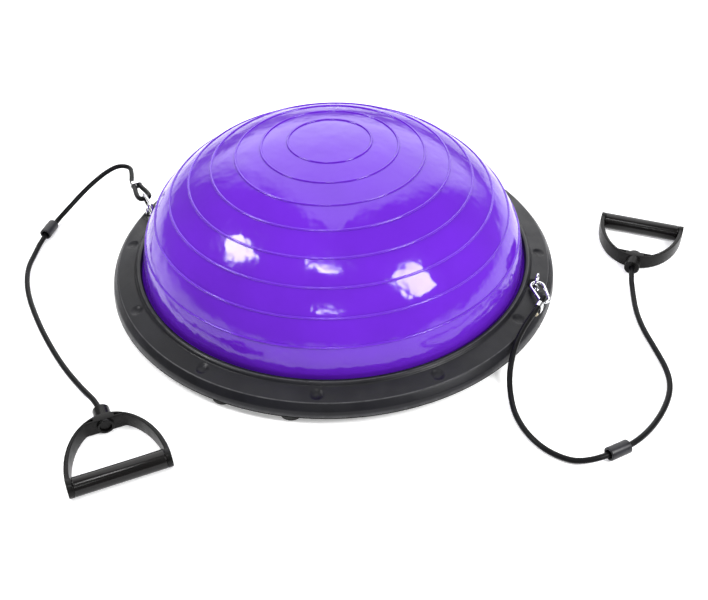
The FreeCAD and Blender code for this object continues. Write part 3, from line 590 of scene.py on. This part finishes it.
def makeRim():
    faceCorner = Vector((rim["faceRadius"], rim["faceHeight"]))
    shoulder = Vector((rim["shoulderRadius"], rim["shoulderHeight"]))
    rows = rim["faceRows"]
    shares = [rim["faceStart"] + rim["faceShare"] * k / rows for k in range(rows + 1)]
    face = [tuple(faceCorner.lerp(shoulder, share)) for share in shares]
    corners = [(rim["lipInner"], rim["beadTop"]), (rim["lipInner"], rim["lipHeight"] - rim["lipDrop"]),
               (rim["lipRadius"] - rim["lipWidth"], rim["lipHeight"] - rim["lipFall"]),
               (rim["lipRadius"], rim["lipHeight"]),
               (rim["faceRadius"] - rim["stepIn"], rim["faceHeight"] + rim["stepUp"]), tuple(faceCorner)]
    outer = [tuple(shoulder), (rim["wallRadius"], rim["wallHeight"]), (rim["radius"], rim["low"])]
    inner = [(rim["radius"] - rim["lowSkin"], rim["low"]),
             (rim["wallRadius"] - rim["skin"] - rim["wallStep"], rim["wallHeight"]),
             (rim["shoulderRadius"] - rim["shoulderSkin"], rim["shoulderHeight"] - rim["skin"]),
             (rim["innerRadius"], rim["faceHeight"] - rim["skin"]), (rim["innerRadius"], rim["beadTop"])]
    # soft edges at the lip, shoulder and seam; the face keeps its own rows for the dimples
    outline = roundedOutline(corners + outer + inner, rim["round"])
    split = next(k for k, point in enumerate(outline) if point[0] > rim["faceRadius"] + rim["faceFrom"])
    outline = outline[:split] + face + outline[split + 1:]
    ring = lathe("rim_shell", outline, rim["turns"], shell, 60)
    middles = [math.radians(angle) for angle in dimpleAngles]
    for vertex in ring.data.vertices:
        x, y, z = vertex.co
        if z < dimples["above"] or not dimples["from"] < math.hypot(x, y) < dimples["to"]:
            continue
        for angle in middles:
            across, along = dimples["pitch"] * math.cos(angle), dimples["pitch"] * math.sin(angle)
            away = math.hypot(x - across, y - along)
            if away < dimples["radius"]:
                share = (1 - (away / dimples["radius"]) ** 2) ** dimples["bowl"]
                vertex.co.z -= dimples["depth"] * share
        away = math.hypot(abs(x) - dimples["pitch"], y)
        if away < recess["top"]:
            blend = min(1, max(0, (away - recess["radius"]) / (recess["top"] - recess["radius"])))
            vertex.co.z = min(vertex.co.z, recess["floor"] + (z - recess["floor"]) * blend)
    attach(ring, "base")
    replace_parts(ring, "rim_ring")


def makeTray():
    piece = finishedCopy("base_tray", tray, 30)
    for vertex in piece.data.vertices:
        x, y, z = vertex.co
        radius = math.hypot(x, y)
        if radius > rolled["from"] and z < rolled["under"]:
            # the outer wall rolls in under the edge
            below = z < rolled["bend"]
            new = rolled["radius"] if below else rolled["sideRadius"]
            vertex.co = (x * new / radius, y * new / radius, z if below else rolled["sideHeight"])
    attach(piece, "base")


makeRim()
makeTray()
print("rim made")


# repeated small pieces: one foot and one screw, each set out on a circle

foot = {"radius": 0.014, "height": 0.008, "round": 0.002, "pitch": 0.282,
        "angles": [centre + way for centre in (-90, 30, 150) for way in (-8.8, 8.8)]}
screw = {"head": 0.004, "headHeight": 0.0018, "shank": 0.002, "bottom": 0.0062, "top": 0.0226,
         "round": 0.0006, "slot": (0.0010, 0.0050, 0.0016), "slotDown": 0.0002}


def spreadTree():
    # copies the geometry in a mesh onto the points of another object, turned to face outwards
    tree, group, out = newTree("setOut", {"Piece": ("Object", None), "Material": ("Material", None)})
    info = tree.nodes.new("GeometryNodeObjectInfo")
    link(tree, group, "Piece", info, "Object")
    spread = tree.nodes.new("GeometryNodeInstanceOnPoints")
    link(tree, group, "Geometry", spread, "Points")
    link(tree, info, "Geometry", spread, "Instance")
    position = tree.nodes.new("GeometryNodeInputPosition")
    turn = tree.nodes.new("FunctionNodeAlignRotationToVector")
    turn.axis = "X"
    turn.pivot_axis = "Z"
    link(tree, position, "Position", turn, "Vector")
    link(tree, turn, "Rotation", spread, "Rotation")
    realised(tree, spread.outputs["Instances"], group, out)
    return tree


setOut = spreadTree()


def onCircle(name, single, radius, angles, material):
    points = bpy.data.meshes.new(name)
    turns = [math.radians(angle) for angle in angles]
    points.from_pydata([(radius * math.cos(a), radius * math.sin(a), 0) for a in turns], [], [])
    made = runTree(addObject(name, points), setOut, {"Piece": single, "Material": material})
    bpy.data.objects.remove(single)
    smoothByAngle(made.data, 35)
    return made


def makeFeet():
    radius, height = foot["radius"], foot["height"]
    outline = roundedOutline([(0, 0), (radius, 0), (radius, height), (0, height)], foot["round"], 6)
    single = lathe("foot", outline, 64, footRubber)
    feet = onCircle("rubber_feet", single, foot["pitch"], foot["angles"], footRubber)
    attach(feet, "base")
    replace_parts(feet, *["foot_%d" % k for k in range(1, 7)])


def makeScrews():
    shank, top = screw["shank"], screw["bottom"] + screw["headHeight"]
    outline = roundedOutline([(0, screw["bottom"]), (screw["head"], screw["bottom"]), (screw["head"], top),
                              (shank, top), (shank, screw["top"]), (0, screw["top"])], screw["round"])
    single = lathe("screw", outline, 40, screwSteel)
    slot = boxPiece("slot", screw["slot"], (0, 0, screw["bottom"] - screw["slotDown"]))
    combine(single, slot, "DIFFERENCE")
    screws = onCircle("base_screws", single, dimples["pitch"], dimpleAngles, screwSteel)
    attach(screws, "base")
    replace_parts(screws, "rim_screws")


makeFeet()
makeScrews()
print("feet and screws set out")


# valve plug, anchors, hooks and crimps keep their own shapes

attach(finishedCopy("valve_plug", plugWhite), "valve")
for side in sides:
    for label in ("anchor_eye", "anchor_washer", "anchor_nut"):
        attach(finishedCopy(side + "_" + label, steel), "base")
    for label, body in (("hook_frame", "_band"), ("gate_rivet", "_band"),
                        ("hook_gate", "_gate"), ("gate_spring", "_gate")):
        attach(finishedCopy(side + "_" + label, steel), side + body)
print("metal finished")


# crimps

def makeCrimp(side):
    band = finishedCopy(side + "_crimp", crimpSteel)
    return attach(band, side + "_band")


# sleeves

sleeve = {"radius": 0.008, "bore": 0.0054, "length": 0.027, "round": 0.0012}


def makeSleeve(side):
    half = sleeve["length"] / 2
    tube = lathe(side + "_sleeve_tube", roundedOutline([
        (sleeve["bore"], -half), (sleeve["radius"], -half), (sleeve["radius"], half), (sleeve["bore"], half)],
        sleeve["round"], 6), 64, sleeveRubber, 50)
    low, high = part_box(side + "_sleeve")
    along = Vector(joints[side + "_sleeve_slide"]["axis"]).to_track_quat("Z", "Y").to_matrix().to_4x4()
    place(tube, Matrix.Translation((low + high) / 2) @ along)
    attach(tube, side + "_sleeve")
    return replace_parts(tube, side + "_sleeve")


# handles: x along the grip, y towards the cord, z up

handle = {"halfWidth": 0.0575, "reach": 0.087, "innerHalf": 0.052, "innerReach": 0.0845, "flat": 0.076,
          "band": 0.020, "edge": 0.0009, "discRadius": 0.011, "discWidth": 0.0065, "gripLength": 0.101,
          "axle": 0.0082, "gap": 0.0003, "boss": 0.010, "bossStart": 0.073, "bossEnd": 0.102,
          "bossBore": 0.007, "mouth": 0.012, "stopDepth": 0.011, "neck": 0.004, "gripBore": 0.0083,
          "steps": 72, "overlap": 0.001, "boreOver": 0.002, "rodRound": 0.0006, "bossRound": 0.0008,
          "gripRound": 0.0009}
pocket = {"outline": ((0.012, 0.0784), (0.023, 0.0784), (0.013, 0.0820), (0.012, 0.0820)),
          "above": 0.004, "below": -0.003, "over": 0.001}


def handleFrame(side):
    grip, swivel = joints[side + "_grip_spin"], joints[side + "_handle_swivel"]
    x, y = Vector(grip["axis"]).normalized(), Vector(swivel["axis"]).normalized()
    turn = Matrix((x, y, x.cross(y))).transposed().to_4x4()
    return Matrix.Translation(grip["pos_m"]) @ turn


def slab(name, outline, low, high, edge=0.0):
    # a flat outline given thickness, with its long edges rounded
    edit = bmesh.new()
    base = edit.faces.new([edit.verts.new((x, y, low)) for x, y in outline])
    risen = bmesh.ops.extrude_face_region(edit, geom=[base])
    top = [item for item in risen["geom"] if isinstance(item, bmesh.types.BMVert)]
    bmesh.ops.translate(edit, vec=(0, 0, high - low), verts=top)
    bmesh.ops.recalc_face_normals(edit, faces=edit.faces)
    mesh = bpy.data.meshes.new(name)
    edit.to_mesh(mesh)
    edit.free()
    mesh.materials.append(handleBlack)
    piece = addObject(name, mesh)
    if edge:
        flatten(piece, "BEVEL", width=edge, segments=3, limit_method="ANGLE",
                angle_limit=math.radians(60))
    return piece


def rod(name, radius, start, end, turn, edge=handle["rodRound"]):
    outline = roundedOutline([(0, start), (radius, start), (radius, end), (0, end)], edge)
    return place(lathe(name, outline, handle["steps"], handleBlack), turn)


def makeHandle(side):
    turns = [math.pi * k / handle["steps"] for k in range(handle["steps"] + 1)]
    outer = [(handle["halfWidth"] * math.cos(a), handle["reach"] * math.sin(a)) for a in turns]
    inner = [(handle["innerHalf"] * math.cos(a), min(handle["flat"], handle["innerReach"] * math.sin(a)))
             for a in reversed(turns)]
    half = handle["band"] / 2
    bow = slab(side + "_handle", outer + inner, -half, half, handle["edge"])
    alongX = Matrix.Rotation(math.radians(90), 4, "Y")
    alongY = Matrix.Rotation(math.radians(-90), 4, "X")
    grip = handle["gripLength"] / 2
    for way in (-1, 1):
        ends = sorted((way * (grip + handle["gap"]), way * (grip + handle["gap"] + handle["discWidth"])))
        combine(bow, rod("disc", handle["discRadius"], *ends, alongX), "UNION")
    reach = grip + handle["overlap"]
    combine(bow, rod("axle", handle["axle"], -reach, reach, alongX), "UNION")
    start, end, over = handle["bossStart"], handle["bossEnd"], handle["boreOver"]
    combine(bow, rod("boss", handle["boss"], start, end, alongY, handle["bossRound"]), "UNION")
    for radius, low, high in ((handle["bossBore"], end - handle["mouth"], end + over),
                              (handle["bossBore"], start - over, start + handle["stopDepth"]),
                              (handle["neck"], start, end)):
        combine(bow, rod("bore", radius, low, high, alongY, 0), "DIFFERENCE")
    for way in (-1, 1):
        outline = [(way * x, y) for x, y in pocket["outline"]]
        for low, high in ((pocket["above"], half + pocket["over"]),
                          (-half - pocket["over"], pocket["below"])):
            combine(bow, slab("pocket", outline, low, high), "DIFFERENCE")
    smoothByAngle(bow.data, 35)
    place(bow, handleFrame(side))
    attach(bow, side + "_handle")
    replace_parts(bow, side + "_handle_frame")


def makeGrip(side):
    half = handle["gripLength"] / 2
    tube = lathe(side + "_grip", roundedOutline([
        (handle["gripBore"], -half), (handle["discRadius"], -half), (handle["discRadius"], half),
        (handle["gripBore"], half)], handle["gripRound"], 5), 96, gripBlack, 50)
    place(tube, handleFrame(side) @ Matrix.Rotation(math.radians(90), 4, "Y"))
    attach(tube, side + "_grip")
    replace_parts(tube, side + "_grip_tube")


for side in sides:
    crimp, tube = makeCrimp(side), makeSleeve(side)
    makeHandle(side)
    makeGrip(side)
    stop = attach(finishedCopy(side + "_cord_stop", handleBlack), side + "_band")
print("bands made")


# floor and light

studio = {"floor": (0.94, 0.94, 0.94), "floorRadius": 40, "glow": 0.30, "front": 0.26, "back": 2.7,
          "middle": 104, "sides": (0.68, 0.86), "heights": (0.06, 0.26), "target": (0.03, -0.05, 0.12),
          "reach": 1.9}
softboxes = {  # direction from the dome (turn from +X, height), size and power
    "leftBox": (-157, 45, 0.52, 0.44, 19),
    "topBox": (-80, 64, 0.44, 0.17, 7),
    "frontBox": (-76, 34, 0.34, 0.09, 2.2),
    "rightBox": (-14, 37, 0.58, 0.74, 31),
}


def makeFloor():
    edit = bmesh.new()
    bmesh.ops.create_circle(edit, cap_ends=True, segments=96, radius=studio["floorRadius"])
    mesh = bpy.data.meshes.new("floor")
    edit.to_mesh(mesh)
    edit.free()
    material, tree, shader = newMaterial("floorWhite", studio["floor"], 0.9, Emission_Strength=studio["glow"])
    shader.inputs["Emission Color"].default_value = (1, 1, 1, 1)
    tint = ramp(tree, noise(tree, 2), (0.93, 0.93, 0.94), (0.95, 0.95, 0.95))
    tree.links.new(tint, shader.inputs["Base Color"])
    mesh.materials.append(material)
    floor = addObject("floor", mesh)


def makeWorld():
    world = bpy.data.worlds.new("studio")
    scene.world = world
    world.use_nodes = True
    tree = world.node_tree
    sky = tree.nodes["Background"]
    direction = tree.nodes.new("ShaderNodeTexCoord").outputs["Generated"]
    # a bright wall behind, from just above the floor to overhead, and a dimmer room elsewhere
    level = vectorMaths(tree, "MULTIPLY", direction, (1, 1, 0)).outputs["Vector"]
    level = vectorMaths(tree, "NORMALIZE", level).outputs["Vector"]
    middle = math.radians(studio["middle"])
    facing = (math.cos(middle), math.sin(middle), 0)
    side = vectorMaths(tree, "DOT_PRODUCT", level, facing).outputs["Value"]
    height = vectorMaths(tree, "DOT_PRODUCT", direction, (0, 0, 1)).outputs["Value"]
    wall = maths(tree, "MULTIPLY", graded(tree, side, *studio["sides"]),
                 graded(tree, height, *studio["heights"]))
    extra = maths(tree, "MULTIPLY", wall, studio["back"] - studio["front"])
    tree.links.new(maths(tree, "ADD", extra, studio["front"]), sky.inputs["Strength"])
    sky.inputs["Color"].default_value = (1, 1, 1, 1)


def makeLights():
    target = Vector(studio["target"])
    for name, (turn, rise, wide, tall, power) in softboxes.items():
        lamp = bpy.data.lights.new(name, "AREA")
        lamp.shape = "RECTANGLE"
        lamp.size, lamp.size_y, lamp.energy = wide, tall, power
        a, e = math.radians(turn), math.radians(rise)
        away = Vector((math.cos(a) * math.cos(e), math.sin(a) * math.cos(e), math.sin(e)))
        box = addObject(name, lamp)
        box.matrix_world = (Matrix.Translation(target + away * studio["reach"])
                            @ away.to_track_quat("Z", "Y").to_matrix().to_4x4())


makeFloor()
makeWorld()
makeLights()
scene.view_settings.view_transform = "Standard"
print("floor and lights set")
